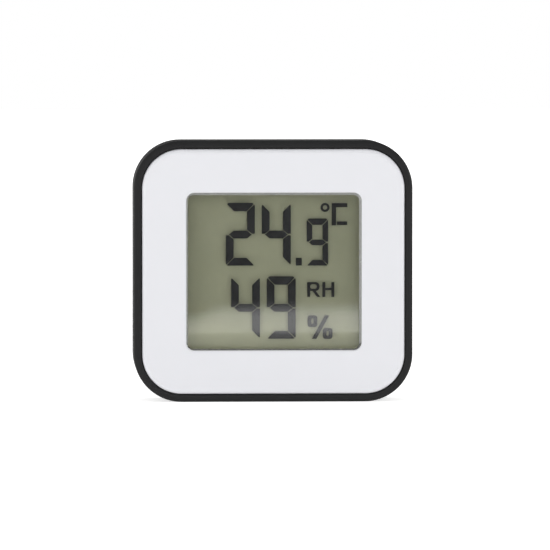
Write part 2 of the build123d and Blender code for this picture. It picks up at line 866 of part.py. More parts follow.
pieces = {
    "rear_housing": rear_housing,
    "front_panel": front_panel,
    "lens_tape": lens_tape,
    "window_lens": window_lens,
    "lens_gasket": lens_gasket,
    "front_polarizer": front_polarizer,
    "front_glass": front_glass,
    "crystal_seal": crystal_seal,
    "rear_glass": rear_glass,
    "reflector_film": reflector_film,
    "readout_frame": readout_frame,
    "contact_strip": contact_strip,
    "circuit_board": circuit_board,
    "board_screws": board_screws,
    "chip_blob": chip_blob,
    "quartz_crystal": quartz_crystal,
    "capacitors": capacitors,
    "resistors": resistors,
    "radio_shield": radio_shield,
    "humidity_sensor": humidity_sensor,
    "temperature_bead": temperature_bead,
    "tact_switch": tact_switch,
    "switch_stem": switch_stem,
    "unit_button": unit_button,
    "magnet_left": magnet_left,
    "magnet_right": magnet_right,
    "button_cell": button_cell,
    "leaf_contact": leaf_contact,
    "edge_contact": edge_contact,
    "battery_door": battery_door,
    "stand_leg": stand_leg,
}
for label, piece in pieces.items():
    piece.part.label = label
    export_step(piece.part, f"parts/{label}.step")
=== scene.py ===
"""Looks of the small thermometer and humidity meter: finishes, readout, fittings, light, camera."""

from math import cos, pi, radians, sin

import bpy
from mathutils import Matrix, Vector


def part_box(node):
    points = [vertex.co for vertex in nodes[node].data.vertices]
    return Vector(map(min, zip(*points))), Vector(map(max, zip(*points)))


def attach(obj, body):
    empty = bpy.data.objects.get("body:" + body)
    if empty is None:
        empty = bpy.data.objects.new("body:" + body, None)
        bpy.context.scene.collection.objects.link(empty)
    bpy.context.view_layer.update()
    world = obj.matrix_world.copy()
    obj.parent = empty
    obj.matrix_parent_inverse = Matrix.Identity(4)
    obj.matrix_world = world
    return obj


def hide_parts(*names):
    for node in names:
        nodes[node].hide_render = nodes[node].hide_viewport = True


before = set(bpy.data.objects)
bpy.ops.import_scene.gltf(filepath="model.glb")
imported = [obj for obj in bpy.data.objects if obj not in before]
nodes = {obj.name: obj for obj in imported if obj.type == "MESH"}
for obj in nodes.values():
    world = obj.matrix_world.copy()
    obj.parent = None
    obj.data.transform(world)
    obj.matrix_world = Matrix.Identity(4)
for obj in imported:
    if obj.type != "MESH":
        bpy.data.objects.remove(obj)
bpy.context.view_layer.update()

MM = 0.001
# Corners that are nearer to each other than this, in mm, are one.
weld = 0.001


# ---------------------------------------------------------------- small tools

def linear(code):
    """Turns an sRGB hex colour into the linear one that shaders use."""
    parts = [int(code[i:i + 2], 16) / 255 for i in (0, 2, 4)]
    return [p / 12.92 if p <= 0.04045 else ((p + 0.055) / 1.055) ** 2.4 for p in parts] + [1.0]


def fill(tree, node, inputs):
    """Gives each named input of a node its value, or the socket that feeds it."""
    for name, value in inputs.items():
        if isinstance(value, bpy.types.NodeSocket):
            tree.links.new(value, node.inputs[name])
        else:
            node.inputs[name].default_value = value


def add(tree, kind, inputs=None, **settings):
    """Adds a node with its settings, and fills its inputs."""
    made = tree.nodes.new(kind)
    for name, value in settings.items():
        setattr(made, name, value)
    fill(tree, made, inputs or {})
    return made


def new_material(name):
    """Makes a material, and gives it with its node tree, its shader and its object coordinates."""
    material = bpy.data.materials.new(name)
    material.use_nodes = True
    tree = material.node_tree
    shader = tree.nodes["Principled BSDF"]
    place = add(tree, "ShaderNodeTexCoord").outputs["Object"]
    return material, tree, shader, place


def noise(tree, place, size, detail):
    """The value of a noise whose features are this many millimetres across."""
    scale = 1 / (size * MM)
    made = add(tree, "ShaderNodeTexNoise", {"Vector": place, "Scale": scale, "Detail": detail})
    return made.outputs["Fac"]


def ramp(tree, value, start, end, low, high, **settings):
    """Runs from low to high as a value runs from start to end."""
    made = add(
        tree, "ShaderNodeMapRange",
        {"Value": value, "From Min": start, "From Max": end, "To Min": low, "To Max": high},
        **settings,
    )
    return made.outputs["Result"]


def by_noise(tree, value, low, high):
    """Runs from low to high over the values that a noise mostly keeps to."""
    return ramp(tree, value, 0.3, 0.7, low, high)


def work_out(tree, operation, first, second):
    """Works one value out from two."""
    return add(tree, "ShaderNodeMath", {0: first, 1: second}, operation=operation).outputs[0]


def mix_values(tree, share, first, second):
    """Gives the first value at a share of 0, and the second at 1."""
    made = add(tree, "ShaderNodeMix", {0: share, 2: first, 3: second}, data_type="FLOAT")
    return made.outputs[0]


def mix_colours(tree, share, first, second):
    """Gives the first colour, a hex code or a socket, at a share of 0, and the second at 1."""
    colours = [linear(each) if isinstance(each, str) else each for each in (first, second)]
    made = add(tree, "ShaderNodeMix", {0: share, 6: colours[0], 7: colours[1]}, data_type="RGBA")
    return made.outputs[2]


def bump(tree, height, depth):
    """The normal of a surface that rises with a height, by this many millimetres at most."""
    made = add(tree, "ShaderNodeBump", {"Height": height, "Strength": 1.0, "Distance": depth * MM})
    return made.outputs["Normal"]


def show(tree, shader):
    """Makes a shader the surface of its material."""
    fill(tree, tree.nodes["Material Output"], {"Surface": shader.outputs[0]})


def deselect():
    bpy.ops.object.select_all(action="DESELECT")


def pick(piece):
    """Selects one piece alone, and makes it the active one."""
    deselect()
    piece.select_set(True)
    bpy.context.view_layer.objects.active = piece


def place_mesh(name, points, edges, faces):
    """Puts a mesh in the scene from points in metres, and picks it."""
    mesh = bpy.data.meshes.new(name)
    mesh.from_pydata(points, edges, faces)
    piece = bpy.data.objects.new(name, mesh)
    bpy.context.scene.collection.objects.link(piece)
    pick(piece)
    return piece


def face_outwards():
    """Turns all faces of the piece that is being edited outwards."""
    bpy.ops.mesh.select_all(action="SELECT")
    bpy.ops.mesh.normals_make_consistent(inside=False)


def apply_all(piece):
    """Applies a piece's modifiers, from the first to the last."""
    pick(piece)
    for modifier in list(piece.modifiers):
        bpy.ops.object.modifier_apply(modifier=modifier.name)


def combine(piece, way, other):
    """Applies an exact UNION or DIFFERENCE with another closed solid, and removes that one."""
    boolean = piece.modifiers.new(way.lower(), "BOOLEAN")
    boolean.operation = way
    boolean.solver = "EXACT"
    boolean.object = other
    apply_all(piece)
    bpy.data.objects.remove(other)


# ---------------------------------------------------------------- finishes

def moulded_plastic(name, colour, other, grain, depth, roughness, spread, level=0.5, ior=1.53):
    """Moulded plastic: the mould's grain as bump, an uneven gloss and a faint drift of colour.

    The grain and its depth are in mm, and the gloss keeps within its spread of the roughness.
    """
    material, tree, shader, place = new_material(name)
    drift = noise(tree, place, 7, 3)
    fill(tree, shader, {
        "Base Color": mix_colours(tree, drift, colour, other),
        "Roughness": by_noise(tree, drift, roughness - spread, roughness + spread),
        "Normal": bump(tree, noise(tree, place, grain, 2), depth),
        "Specular IOR Level": level,
        "IOR": ior,
    })
    return material


def bare_metal(name, colour, other, line, along, roughness, spread, depth):
    """Plated or rolled metal, unevenly polished, with lines along one axis.

    The lines' width and depth are in mm, and the polish keeps within its spread of the roughness.
    """
    material, tree, shader, place = new_material(name)
    stretch = [1.0, 1.0, 1.0]
    stretch[along] = 0.04
    lined = add(tree, "ShaderNodeMapping", {"Vector": place, "Scale": stretch})
    lines = noise(tree, lined.outputs["Vector"], line, 4)
    fill(tree, shader, {
        "Base Color": mix_colours(tree, noise(tree, place, 3, 3), colour, other),
        "Metallic": 1.0,
        "Roughness": by_noise(tree, lines, roughness - spread, roughness + spread),
        "Normal": bump(tree, lines, depth),
    })
    return material


def clear_sheet(name, tint, other, ior=None, roughness=0.0):
    """A clear sheet: each of its two skins tints what it lets through, and mirrors by its angle.

    A sheet without an index is glued down, and mirrors nothing.
    """
    material, tree, shader, place = new_material(name)
    tree.nodes.remove(shader)
    smears = noise(tree, place, 6, 3)
    colour = mix_colours(tree, smears, tint, other)
    through = add(tree, "ShaderNodeBsdfTransparent", {"Color": colour})
    if ior is None:
        show(tree, through)
        return material
    haze = by_noise(tree, smears, roughness, roughness * 2)
    mirror = add(tree, "ShaderNodeBsdfGlossy", {"Roughness": haze})
    # The sheet doesn't bend light, so light that leaves it is mirrored by the same law as light
    # that enters.
    behind = add(tree, "ShaderNodeNewGeometry").outputs["Backfacing"]
    share = add(tree, "ShaderNodeFresnel", {"IOR": mix_values(tree, behind, ior, 1 / ior)})
    show(tree, add(
        tree, "ShaderNodeMixShader",
        {0: share.outputs[0], 1: through.outputs[0], 2: mirror.outputs[0]},
    ))
    return material


# Black ABS, moulded in a spark-eroded tool: a dense, even matt with a soft sheen at grazing angles.
# The real grain is about 0.05 mm and wouldn't show, so it is drawn at 0.22 mm.
black_abs = moulded_plastic(
    "black_abs_spark_eroded", "272728", "2D2D2E", grain=0.22, depth=0.012,
    roughness=0.62, spread=0.05, level=0.15, ior=1.54,
)
# White ABS with a cool dye, moulded in a fine-blasted tool: satin, nearly smooth.
white_abs = moulded_plastic(
    "white_abs_satin", "EEEEF3", "EBECF0", grain=0.35, depth=0.0015,
    roughness=0.36, spread=0.04, ior=1.54,
)
# Cast acrylic, polished: clear, with the small smears that fingers leave.
clear_acrylic = clear_sheet("acrylic_polished", "FEFEFE", "FFFFFF", ior=1.49, roughness=0.02)

# Most grains below are finer in truth, and are drawn as coarse as they need to show up close.
finishes = {
    "rear_housing": black_abs,
    "battery_door": black_abs,
    "stand_leg": black_abs,
    "front_panel": white_abs,
    "window_lens": clear_acrylic,
    # Double-sided tape with a white foam carrier: dull, bright at its cut edge.
    "lens_tape": moulded_plastic("white_foam_tape", "D9D9D5", "E0E0DC", 0.15, 0.01, 0.8, 0.05),
    # Closed-cell foam: matt, pitted by its cells.
    "lens_gasket": moulded_plastic("grey_foam", "B2B2AE", "BABAB6", 0.3, 0.08, 0.9, 0.04),
    # Iodine polarising film: a faint warm grey, and no gloss of its own where it is glued down.
    "front_polarizer": clear_sheet("polarizing_film", "F6F7F3", "F9F9F6"),
    # Float glass under glued film: clear, with a trace of green.
    "front_glass": clear_sheet("readout_glass_front", "FDFEFD", "FEFFFE"),
    "rear_glass": clear_sheet("readout_glass_rear", "FDFEFD", "FEFFFE"),
    # Cured epoxy: slightly yellow, with a soft gloss.
    "crystal_seal": moulded_plastic("seal_epoxy", "B9B49A", "C4BFA6", 0.4, 0.004, 0.35, 0.05),
    # Brushed silver reflector under a green-grey film: fine grain, no clear mirror image.
    "reflector_film": moulded_plastic(
        "reflecting_film", "A9A694", "A7A391", grain=0.25, depth=0.003,
        roughness=0.55, spread=0.08, level=0.2,
    ),
    # Natural ABS, moulded without dye: creamy and half matt.
    "readout_frame": moulded_plastic("natural_abs", "E6E2D6", "DEDACD", 0.3, 0.006, 0.5, 0.05),
    # Silicone rubber, cut from a sheet: pink and dull.
    "contact_strip": moulded_plastic("strip_silicone", "B07A80", "9E6A70", 0.4, 0.01, 0.6, 0.05),
    # Solder mask over glass epoxy: green and glossy, with a slow wave where it ran.
    "circuit_board": moulded_plastic("solder_mask", "1C5A34", "23683C", 0.8, 0.01, 0.3, 0.06),
    # Zinc-plated steel: cool and bright, with lines round the shank.
    "board_screws": bare_metal("zinc_plated_steel", "C9CBCC", "BDBFBF", 0.12, 1, 0.3, 0.08, 0.002),
    # Poured epoxy: black and glossy, with a skin that is a little uneven.
    "chip_blob": moulded_plastic("black_resin", "141414", "1B1B1B", 1.2, 0.02, 0.22, 0.06),
    # Nickel-plated can, drawn along its length: warm and bright.
    "quartz_crystal": bare_metal("nickel_can", "D2CFC8", "C4C1BA", 0.2, 0, 0.22, 0.06, 0.002),
    # Fired ceramic: brown, dry and matt.
    "capacitors": moulded_plastic("ceramic", "A5835F", "977551", 0.2, 0.01, 0.6, 0.05),
    # Glass glaze over ceramic: black, with a soft gloss.
    "resistors": moulded_plastic("resistor_glaze", "1B1B1C", "262628", 0.4, 0.01, 0.3, 0.05),
    # Tinned sheet steel, rolled: grey, with lines along the sheet.
    "radio_shield": bare_metal("tinned_steel", "CBCBC8", "BFBFBB", 0.2, 0, 0.32, 0.08, 0.002),
    # Glass-filled nylon, moulded: off-white and dull.
    "humidity_sensor": moulded_plastic("sensor_case", "E2E2DE", "D9D9D4", 0.2, 0.01, 0.55, 0.05),
    # Epoxy in which the bead was dipped: black, shiny, not quite round.
    "temperature_bead": moulded_plastic("bead_resin", "202022", "2A2A2C", 0.4, 0.02, 0.25, 0.06),
    # Nylon and acetal, moulded: the switch's case is half matt, its stem smoother.
    "tact_switch": moulded_plastic("switch_nylon", "1E1E1E", "262626", 0.2, 0.01, 0.5, 0.05),
    "switch_stem": moulded_plastic("stem_acetal", "8C3A22", "98432A", 0.2, 0.006, 0.35, 0.05),
    # Grey ABS, moulded in a blasted tool: matt, so that the finger holds.
    "unit_button": moulded_plastic("grey_abs", "8B8D90", "85878A", 0.25, 0.008, 0.48, 0.05),
    # Nickel-plated magnets: warm and smooth, with a few scuffs.
    "magnet_left": bare_metal("magnet_nickel_left", "B9B7B1", "ABA9A3", 0.3, 2, 0.2, 0.06, 0.001),
    "magnet_right": bare_metal("magnet_nickel_right", "B9B7B1", "ABA9A3", 0.3, 2, 0.2, 0.06, 0.001),
    # Stainless steel can, brushed across.
    "button_cell": bare_metal("cell_steel", "CDCDCB", "C0C0BE", 0.15, 0, 0.28, 0.08, 0.002),
    # Nickel-plated spring steel, rolled: bright, with lines along the strip.
    "leaf_contact": bare_metal("spring_steel", "D0CEC8", "C4C2BC", 0.12, 0, 0.26, 0.06, 0.002),
    "edge_contact": bare_metal("spring_steel_edge", "D0CEC8", "C4C2BC", 0.12, 2, 0.26, 0.06, 0.002),
}
for name, finish in finishes.items():
    nodes[name].data.materials.clear()
    nodes[name].data.materials.append(finish)

# Painted light: the film's colour is made 1.47 times lighter over the readout's lower third, fading
# out between 13 and 18 mm up, so the readout is lighter there. It stands in for light that the lens
# and the window's white walls scatter onto the readout's lower part.
tree = finishes["reflector_film"].node_tree
shader = tree.nodes["Principled BSDF"]
spot = add(
    tree, "ShaderNodeSeparateXYZ", {"Vector": add(tree, "ShaderNodeTexCoord").outputs["Object"]},
)
# The film's colour scaled up low down: painted light, not a real change in the film.
film = add(
    tree, "ShaderNodeVectorMath",
    {0: shader.inputs["Base Color"].links[0].from_socket,
     "Scale": ramp(tree, spot.outputs["Z"], 13 * MM, 18 * MM, 1.47, 1.0)},
    operation="SCALE",
)
fill(tree, shader, {"Base Color": film.outputs["Vector"]})


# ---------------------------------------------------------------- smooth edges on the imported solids

smooth_group = bpy.data.node_groups.new("smooth_faces", "GeometryNodeTree")
for way in ("INPUT", "OUTPUT"):
    smooth_group.interface.new_socket("Geometry", in_out=way, socket_type="NodeSocketGeometry")
group_in = smooth_group.nodes.new("NodeGroupInput")
group_out = smooth_group.nodes.new("NodeGroupOutput")
smoother = smooth_group.nodes.new("GeometryNodeSetShadeSmooth")
smooth_group.links.new(group_in.outputs[0], smoother.inputs["Geometry"])
smooth_group.links.new(smoother.outputs[0], group_out.inputs[0])


def join_faces(solid):
    """Merges a solid's loose triangles, and joins those that lie in one plane."""
    solid.modifiers.new("merge", "WELD").merge_threshold = weld * MM
    flat = solid.modifiers.new("join_flat_faces", "DECIMATE")
    flat.decimate_type = "DISSOLVE"
    flat.angle_limit = radians(0.5)


def soften(solid, width):
    """Joins a solid's faces, rounds its sharp edges by a width in mm, and shades it smoothly."""
    join_faces(solid)
    group = solid.modifiers.new("smooth_faces", "NODES")
    group.node_group = smooth_group
    rounded = solid.modifiers.new("edges", "BEVEL")
    rounded.width = width * MM
    rounded.segments = 2
    rounded.limit_method = "ANGLE"
    rounded.angle_limit = radians(35)
    rounded.harden_normals = False
    weighted = solid.modifiers.new("weighted", "WEIGHTED_NORMAL")
    weighted.keep_sharp = True


moulded_edge, stamped_edge = 0.06, 0.12
for name in ("rear_housing", "front_panel", "stand_leg", "unit_button"):
    soften(nodes[name], moulded_edge)
for name in ("magnet_left", "magnet_right", "button_cell"):
    soften(nodes[name], stamped_edge)


# ---------------------------------------------------------------- readout

# Liquid crystal where it is switched on: it takes up nearly all light, and a trace of blue is left.
# Its density is a little uneven, in patches just over a millimetre across.
dark_crystal, tree, shader, place = new_material("liquid_crystal_dark")
patches = noise(tree, place, 1.2, 3)
fill(tree, shader, {
    "Base Color": mix_colours(tree, patches, "202024", "27272B"),
    "Roughness": 0.8,
    "Specular IOR Level": 0.0,
})

crystal_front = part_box("crystal_seal")[0].y
crystal_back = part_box("crystal_seal")[1].y
crystal_skin = 0.01 * MM


def flat_plate(name, left, low, right, high):
    """A flat plate, its sides in mm, that faces the reader at the front of the liquid crystal."""
    deselect()
    middle = ((left + right) / 2 * MM, crystal_front + crystal_skin, (low + high) / 2 * MM)
    bpy.ops.mesh.primitive_plane_add(size=1, location=middle, rotation=(pi / 2, 0, 0))
    plate = bpy.context.object
    plate.name = name
    plate.scale = ((right - left) * MM, (high - low) * MM, 1)
    bpy.ops.object.transform_apply(location=True, rotation=True, scale=True)
    return plate


def select_corners(plate, test):
    """Selects the corners of a plate whose place in mm, across and up, passes the test."""
    bpy.ops.object.mode_set(mode="EDIT")
    bpy.ops.mesh.select_all(action="DESELECT")
    bpy.ops.object.mode_set(mode="OBJECT")
    for corner in plate.data.vertices:
        corner.select = test(corner.co.x / MM, corner.co.z / MM)
    bpy.ops.object.mode_set(mode="EDIT")


# How near a cut, in mm, a corner may lie and be taken as on it.
on_cut = 0.0001


def trim(plate, cuts):
    """Cuts a plate along lines: each has a point in mm, across and up, and the way to the waste."""
    bpy.ops.object.mode_set(mode="EDIT")
    for (across, up), (way_x, way_z) in cuts:
        bpy.ops.mesh.select_all(action="SELECT")
        bpy.ops.mesh.bisect(
            plane_co=(across * MM, 0, up * MM), plane_no=(way_x, 0, way_z), clear_outer=True,
            threshold=on_cut * MM,
        )
    bpy.ops.object.mode_set(mode="OBJECT")
    return plate


def join_plates(name, plates):
    """Joins plates into one piece, as thick as the liquid crystal, and fixes it to the housing."""
    deselect()
    for plate in plates:
        plate.select_set(True)
    bpy.context.view_layer.objects.active = plates[0]
    if len(plates) > 1:
        bpy.ops.object.join()
    piece = bpy.context.object
    piece.name = name
    bpy.ops.object.mode_set(mode="EDIT")
    bpy.ops.mesh.select_all(action="SELECT")
    bpy.ops.mesh.extrude_region_move(
        TRANSFORM_OT_translate={"value": (0, crystal_back - crystal_front - 2 * crystal_skin, 0)}
    )
    face_outwards()
    bpy.ops.object.mode_set(mode="OBJECT")
    piece.data.materials.clear()
    piece.data.materials.append(dark_crystal)
    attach(piece, "housing")
    return piece


# Between two segments there is a bare line, where no electrode lies. At a mitre it runs at 45
# degrees, and half of it is this far across and up.
bare_line = 0.13
mitre_step = bare_line / 2 * sin(pi / 4)


def level_segment(name, digit, up):
    """The top or the bottom segment of a digit: mitred at both ends, with its outer corners cut."""
    left, low, right, high, post, bar, lift, cut = digit
    end = high if up > 0 else low
    inner = end - up * bar
    edge = end + (lift if up > 0 else 0)
    cuts = []
    for side, outer in ((-1, left), (1, right)):
        mitre = (outer - side * post - side * mitre_step, inner + up * mitre_step)
        cuts += [(mitre, (side, -up)), ((outer - side * cut, end), (side, up))]
    return trim(flat_plate(name, left, min(inner, edge), right, max(inner, edge)), cuts)


# How much of an upright's width the middle segment's point takes, and how much of the bare line's
# height is left where the upright ends beside it.
point_run, blunt = 0.6, 0.9


def upright_segment(name, digit, side, up):
    """An upright segment: mitred at the digit's end, and cut along the point of the middle one."""
    left, low, right, high, post, bar, _, cut = digit
    outer = right if side > 0 else left
    inner = outer - side * post
    end, middle = (high if up > 0 else low), (low + high) / 2
    run, rise = point_run * post, 0.5 * bar
    beside = bare_line * (run ** 2 + rise ** 2) ** 0.5 / run
    plate = flat_plate(
        name, min(outer, inner), min(middle, end), max(outer, inner), max(middle, end),
    )
    return trim(plate, [
        ((inner + side * mitre_step, end - up * bar - up * mitre_step), (-side, up)),
        ((outer - side * cut, end), (side, up)),
        ((outer - side * (post - run), middle + up * beside), (-side * rise, -up * run)),
        ((outer, middle + up * beside * blunt), (0, -up)),
    ])


def middle_segment(name, digit):
    """The middle segment: a long hexagon with its points between the uprights."""
    left, low, right, high, post, bar, _, _ = digit
    middle = (low + high) / 2
    run, rise = point_run * post, 0.5 * bar
    point = post - run
    plate = flat_plate(name, left + point, middle - rise, right - point, middle + rise)
    return trim(plate, [
        ((tip, middle), (side * rise, up * run))
        for side, tip in ((-1, left + point), (1, right - point)) for up in (-1, 1)
    ])


def digit_piece(name, numeral, *digit):
    """A seven-segment digit made of the segments that are lit for its numeral."""
    plates = []
    for segment in {"2": "abged", "4": "fgbc", "9": "abcdfg"}[numeral]:
        label = name + "_" + segment
        if segment in "ad":
            plates.append(level_segment(label, digit, 1 if segment == "a" else -1))
        elif segment == "g":
            plates.append(middle_segment(label, digit))
        else:
            side = 1 if segment in "bc" else -1
            plates.append(upright_segment(label, digit, side, 1 if segment in "bf" else -1))
    return join_plates(name, plates)


# Each digit in mm: its left, low, right and high sides, how wide its uprights and its bars are, how
# far its top bar rises past them, and how much its corners lose.
digit_piece("temperature_tens", "2", -9.28, 26.75, -3.55, 39.00, 1.54, 1.54, 0.14, 0.38)
digit_piece("temperature_units", "4", -2.19, 26.75, 3.53, 38.97, 1.54, 1.54, 0.14, 0.38)
digit_piece("temperature_tenths", "9", 6.66, 26.73, 10.88, 35.87, 1.09, 1.12, 0.14, 0.27)
digit_piece("humidity_tens", "4", -8.23, 12.33, -2.56, 24.50, 1.52, 1.52, 0.14, 0.38)
digit_piece("humidity_units", "9", -1.21, 12.32, 4.49, 24.48, 1.52, 1.52, 0.14, 0.38)
join_plates("decimal_point", [flat_plate("point", 4.52, 26.75, 5.70, 28.27)])

# The C is an upright whose upper end runs on to the right, and a foot that is a segment of its own.
arm_low, arm_start, arm_length = 38.23, 12.45, 2.24
upright = flat_plate("letter_upright", 11.59, 34.66, arm_start, 39.02)
bpy.ops.object.mode_set(mode="EDIT")
bpy.ops.mesh.select_all(action="SELECT")
bpy.ops.mesh.bisect(plane_co=(0, 0, arm_low * MM), plane_no=(0, 0, 1), threshold=on_cut * MM)
select_corners(upright, lambda x, z: x > arm_start - 0.05 and z > arm_low - 0.05)
bpy.ops.mesh.extrude_edges_move(TRANSFORM_OT_translate={"value": (arm_length * MM, 0, 0)})
bpy.ops.object.mode_set(mode="OBJECT")
join_plates("celsius_letter", [upright, flat_plate("letter_foot", 12.61, 34.70, 14.65, 35.42)])


def flat_ring(name, x, z, wide, tall, corner, hole_wide, hole_tall, hole_corner):
    """A flat ring between two rounded outlines of mm sizes that share a middle."""
    outlines = []
    for part, across, up, rounding in (
        ("outer", wide, tall, corner), ("hole", hole_wide, hole_tall, hole_corner),
    ):
        outline = flat_plate(
            name + "_" + part, x - across / 2, z - up / 2, x + across / 2, z + up / 2,
        )
        bpy.ops.object.mode_set(mode="EDIT")
        bpy.ops.mesh.select_all(action="SELECT")
        bpy.ops.mesh.bevel(offset=rounding * MM, segments=8, affect="VERTICES")
        bpy.ops.mesh.delete(type="ONLY_FACE")
        bpy.ops.object.mode_set(mode="OBJECT")
        outlines.append(outline)
    for outline in outlines:
        outline.select_set(True)
    bpy.ops.object.join()
    ring = bpy.context.object
    ring.name = name
    bpy.ops.object.mode_set(mode="EDIT")
    bpy.ops.mesh.select_all(action="SELECT")
    bpy.ops.mesh.bridge_edge_loops()
    bpy.ops.object.mode_set(mode="OBJECT")
    return ring


def slanting_bar(name, left, low, right, high, slant):
    """An upright bar whose upper end is moved across by its slant."""
    bar = flat_plate(name, left, low, right, high)
    select_corners(bar, lambda x, z: z > (low + high) / 2)
    bpy.ops.transform.translate(value=(slant * MM, 0, 0))
    bpy.ops.object.mode_set(mode="OBJECT")
    return bar


join_plates("degree_mark", [
    flat_ring("degree", 10.28, 38.18, 1.78, 1.78, 0.889, 0.86, 0.86, 0.429),
])
# The per cent sign: two small zeros and a slanting bar.
slash = slanting_bar("slash", 7.68, 12.27, 8.57, 16.92, 2.57)
join_plates("percent_sign", [
    flat_ring("zero_high", 7.80, 15.77, 1.92, 2.28, 0.52, 0.44, 1.06, 0.20),
    slash,
    flat_ring("zero_low", 10.80, 13.34, 1.92, 2.14, 0.52, 0.44, 1.02, 0.20),
])


def merge(name, solids):
    """Merges solids that overlap into one piece."""
    piece = solids[0]
    for other in solids[1:]:
        combine(piece, "UNION", other)
    piece.name = name
    return piece


# R is a rounded bowl with a stem and a slanting leg, H two stems and a bar. Each is merged into
# one solid.
letter_low, letter_high = 20.55, 23.47
bar_low, bar_high = 21.72, 22.16
leg = slanting_bar("leg", 8.72, letter_low, 9.38, bar_high, -1.25)
letter_r = merge("letter_r", [
    join_plates("stem", [flat_plate("stem", 6.77, letter_low, 7.36, letter_high)]),
    join_plates("bowl", [flat_ring(
        "bowl", 8.00, (bar_low + letter_high) / 2, 2.42, letter_high - bar_low, 0.80,
        1.30, letter_high - bar_low - 0.88, 0.40,
    )]),
    join_plates("leg", [leg]),
])
letter_h = merge("letter_h", [
    join_plates("bar", [flat_plate("bar", 9.90, 21.86, 12.00, 22.32)]),
    join_plates("stem_left", [flat_plate("stem_left", 9.76, letter_low, 10.35, letter_high)]),
    join_plates("stem_right", [flat_plate("stem_right", 11.53, letter_low, 12.12, letter_high)]),
])
pick(letter_r)
letter_h.select_set(True)
bpy.ops.object.join()
letter_r.name = "humidity_letters"


# ---------------------------------------------------------------- lens edge

# Polished bevel of the acrylic lens: light turns round inside it, so it mirrors what is beside,
# below and above the object, a little blurred by polishing marks.
lens_bevel, tree, shader, place = new_material("acrylic_polished_bevel")
marks = noise(tree, place, 0.5, 3)
fill(tree, shader, {
    "Base Color": mix_colours(tree, marks, "DEDFDC", "D2D3D0"),
    "Metallic": 1.0,
    "Roughness": by_noise(tree, marks, 0.18, 0.28),
})


def rounded_loop(sides, corner, depths, steps=10):
    """Points round a rounded rectangle that faces the reader.

    Its sides are right, top, left and bottom, each with its place and its depth in mm. At a corner
    the depth runs from one side's to the next one's.
    """
    points = []
    for turn in range(4):
        way_x, way_z = (1 if turn in (0, 3) else -1), (1 if turn < 2 else -1)
        x, z = (sides[0] if way_x > 0 else sides[2]), (sides[1] if way_z > 0 else sides[3])
        for step in range(steps + 1):
            angle = (turn + step / steps) * pi / 2
            near, far = depths[turn], depths[(turn + 1) % 4]
            points.append((
                (x - way_x * corner + corner * cos(angle)) * MM,
                (near + (far - near) * step / steps) * MM,
                (z - way_z * corner + corner * sin(angle)) * MM,
            ))
    return points


# The bevel lies on the window's chamfer, from its foot outward, with its rear sunk in the plastic.
# It reaches less far out on the left and at the bottom, because the lens sits low and to the left.
window_x, window_low, window_high, window_corner = 16.9, 10.45, 40.8, 1.2
chamfer_foot, skin = -7.55, 0.015
reaches = (0.42, 0.42, 0.24, 0.24)
# How far out and how deep the bevel runs at its outer lip, behind the lip, behind the foot, and at
# the foot.
sections = (
    (reaches, [chamfer_foot - skin - reach for reach in reaches]),
    ([reach + 0.06 for reach in reaches], [chamfer_foot + 0.04 - reach for reach in reaches]),
    ([0.02] * 4, [chamfer_foot + 0.07] * 4),
    ([-0.06] * 4, [chamfer_foot + 0.05] * 4),
)
loops = [
    rounded_loop(
        (window_x + out[0], window_high + out[1], -window_x - out[2], window_low - out[3]),
        window_corner + max(out), depths,
    )
    for out, depths in sections
]
count = len(loops[0])
faces = [
    (k * count + i, k * count + (i + 1) % count,
     (k + 1) % 4 * count + (i + 1) % count, (k + 1) % 4 * count + i)
    for k in range(4) for i in range(count)
]
lens_edge = place_mesh("lens_edge", [point for loop in loops for point in loop], [], faces)
bpy.ops.object.mode_set(mode="EDIT")
face_outwards()
bpy.ops.object.mode_set(mode="OBJECT")
bpy.ops.object.shade_smooth_by_angle(angle=radians(30))
lens_edge.data.materials.append(lens_bevel)
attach(lens_edge, "housing")


# ---------------------------------------------------------------- marks and fittings at the back

def prism(name, corners, near, far):
    """A closed prism: its outline in mm, across and up, from one depth to another."""
    solid = place_mesh(
        name, [(x * MM, near * MM, z * MM) for x, z in corners], [], [range(len(corners))],
    )
    bpy.ops.object.mode_set(mode="EDIT")
    bpy.ops.mesh.select_all(action="SELECT")
    bpy.ops.mesh.extrude_region_move(TRANSFORM_OT_translate={"value": (0, (far - near) * MM, 0)})
    face_outwards()
    bpy.ops.object.mode_set(mode="OBJECT")
    return solid


def print_text(name, body, middle, height, near, far, material):
    """Letters that are read from the back; their middle, height and depths are in mm."""
    deselect()
    bpy.ops.object.text_add(rotation=(pi / 2, 0, pi))
    drawn = bpy.context.object
    drawn.name = name
    drawn.data.body = body
    drawn.data.extrude = (far - near) / 2 * MM
    drawn.data.resolution_u = 4
    bpy.ops.object.convert(target="MESH")
    bpy.ops.object.transform_apply(location=True, rotation=True, scale=True)
    across = [corner.co.x for corner in drawn.data.vertices]
    up = [corner.co.z for corner in drawn.data.vertices]
    size = height * MM / (max(up) - min(up))
    drawn.scale = (size, 1, size)
    drawn.location = (
        middle[0] * MM - (max(across) + min(across)) / 2 * size, (near + far) / 2 * MM,
        middle[1] * MM - (max(up) + min(up)) / 2 * size,
    )
    bpy.ops.object.transform_apply(location=True, rotation=True, scale=True)
    drawn.data.materials.clear()
    drawn.data.materials.append(material)
    return drawn


# The battery door, with an arrow engraved above its grip that shows which way it slides.
back_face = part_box("battery_door")[1].y / MM
arrow_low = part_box("battery_door")[0].z / MM + 10.5
mark_depth = 0.2
marked_door = bpy.data.objects.new("battery_door_marked", nodes["battery_door"].data.copy())
bpy.context.scene.collection.objects.link(marked_door)
join_faces(marked_door)
apply_all(marked_door)
combine(marked_door, "DIFFERENCE", prism("arrow", [
    (x, arrow_low + up) for x, up in (
        (-0.8, 0), (0.8, 0), (0.8, 2.6), (2.4, 2.6), (0, 5.4), (-2.4, 2.6), (-0.8, 2.6),
    )
], back_face - mark_depth, back_face + mark_depth))
soften(marked_door, moulded_edge)
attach(marked_door, "door")
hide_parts("battery_door")

